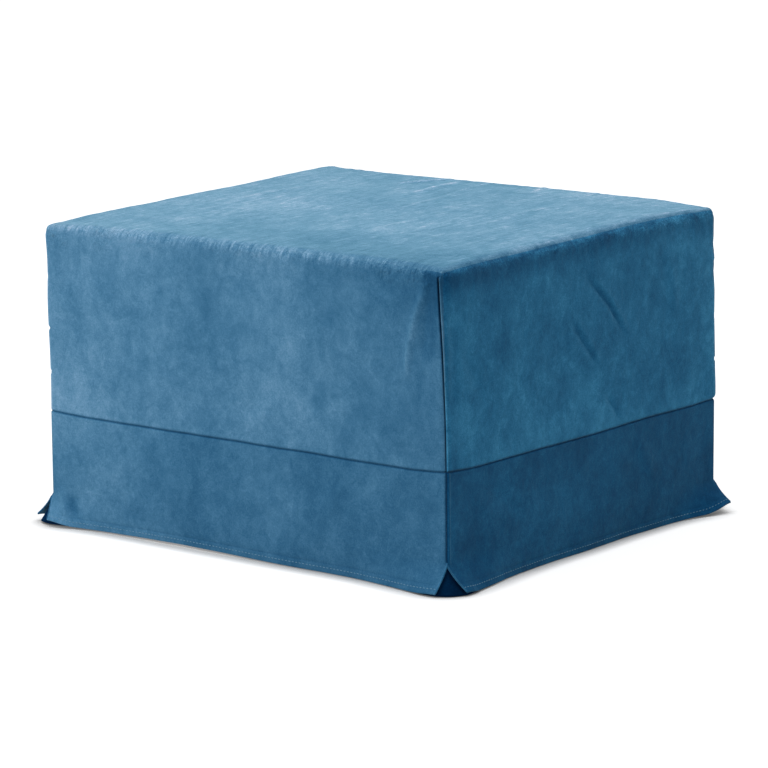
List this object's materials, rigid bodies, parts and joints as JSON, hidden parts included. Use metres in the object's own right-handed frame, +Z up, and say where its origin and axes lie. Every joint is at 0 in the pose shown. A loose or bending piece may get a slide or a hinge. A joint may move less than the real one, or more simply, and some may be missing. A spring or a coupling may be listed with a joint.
{
  "type": "fold out ottoman guest bed",
  "caption": "Folding guest bed hidden as an ottoman under a loose blue suede cloth cover with a seamed skirt down to the floor.",
  "frame": {"origin": "on the floor under the centre of the folded, covered bed", "axes": "+Z up, X across the bed (the wider side of the ottoman), -Y the way the bed opens"},
  "size_m": [0.786, 0.708, 0.46],
  "materials": {
    "cover_cloth": "matte",
    "pleat_cloth": "matte",
    "ticking_cloth": "matte",
    "foam": "matte",
    "webbing": "matte",
    "frame_paint": "satin",
    "plate_steel": "satin",
    "pin_steel": "satin",
    "slat_wood": "satin",
    "black_plastic": "matte",
    "bumper_rubber": "matte"
  },
  "bodies": {
    "base": {"base_frame": "frame_paint", "base_cross_tube": "frame_paint", "base_front_leg": "frame_paint", "base_rear_leg": "frame_paint", "base_glides": "black_plastic", "base_rail_plugs": "black_plastic", "base_hinge_plates": "plate_steel", "front_hinge_pins": "pin_steel", "base_slats": "slat_wood", "base_slat_caps": "black_plastic", "head_pad_ticking": "ticking_cloth", "head_pad_foam_core": "foam", "head_pad_straps": "webbing"},
    "middle": {"middle_rails": "frame_paint", "middle_cross_tubes": "frame_paint", "middle_rail_plugs": "black_plastic", "middle_front_hinge_plates": "plate_steel", "middle_back_hinge_plates": "plate_steel", "middle_slats": "slat_wood", "middle_slat_caps": "black_plastic", "middle_pad_ticking": "ticking_cloth", "middle_pad_foam_core": "foam", "middle_pad_straps": "webbing", "rest_bumpers": "bumper_rubber"},
    "foot": {"foot_frame": "frame_paint", "foot_cross_tube": "frame_paint", "foot_rail_plugs": "black_plastic", "foot_hinge_plates": "plate_steel", "back_hinge_pins": "pin_steel", "leg_ears": "plate_steel", "leg_pivot_pins": "pin_steel", "foot_slats": "slat_wood", "foot_slat_caps": "black_plastic", "foot_pad_ticking": "ticking_cloth", "foot_pad_foam_core": "foam", "foot_pad_straps": "webbing"},
    "inner_leg": {"inner_leg": "frame_paint", "inner_leg_bushes": "black_plastic", "inner_leg_end_plugs": "black_plastic", "inner_leg_glides": "black_plastic"},
    "outer_leg": {"outer_leg": "frame_paint", "outer_leg_bushes": "black_plastic", "outer_leg_end_plugs": "black_plastic", "outer_leg_glides": "black_plastic"},
    "cover": {"cover_body": "cover_cloth", "skirt_front": "cover_cloth", "skirt_back": "cover_cloth", "skirt_left": "cover_cloth", "skirt_right": "cover_cloth", "corner_pleat_front_right": "pleat_cloth", "corner_pleat_front_left": "pleat_cloth", "corner_pleat_back_right": "pleat_cloth", "corner_pleat_back_left": "pleat_cloth"}
  },
  "joints": [
    {"name": "middle_fold", "type": "hinge", "parent": "base", "child": "middle", "pos_m": [0, -0.3115, 0.2205], "axis": [1, 0, 0], "range_deg": [0, 180]},
    {"name": "foot_fold", "type": "hinge", "parent": "middle", "child": "foot", "pos_m": [0, 0.2915, 0.339], "axis": [1, 0, 0], "range_deg": [-180, 0]},
    {"name": "inner_leg_fold", "type": "hinge", "parent": "foot", "child": "inner_leg", "pos_m": [0, 0.2, 0.339], "axis": [1, 0, 0], "range_deg": [0, 90]},
    {"name": "outer_leg_fold", "type": "hinge", "parent": "foot", "child": "outer_leg", "pos_m": [0, -0.262, 0.339], "axis": [1, 0, 0], "range_deg": [-90, 0]},
    {"name": "cover_lift", "type": "slide", "parent": "foot", "child": "cover", "axis": [0, 0, 1], "range_m": [0, 1.41372]}
  ],
  "couplings": [
    {"joint": "foot_fold", "follows": "middle_fold", "ratio": -1},
    {"joint": "inner_leg_fold", "follows": "middle_fold", "ratio": 0.5},
    {"joint": "outer_leg_fold", "follows": "middle_fold", "ratio": -0.5},
    {"joint": "cover_lift", "follows": "middle_fold", "m_per_rad": 0.45}
  ]
}
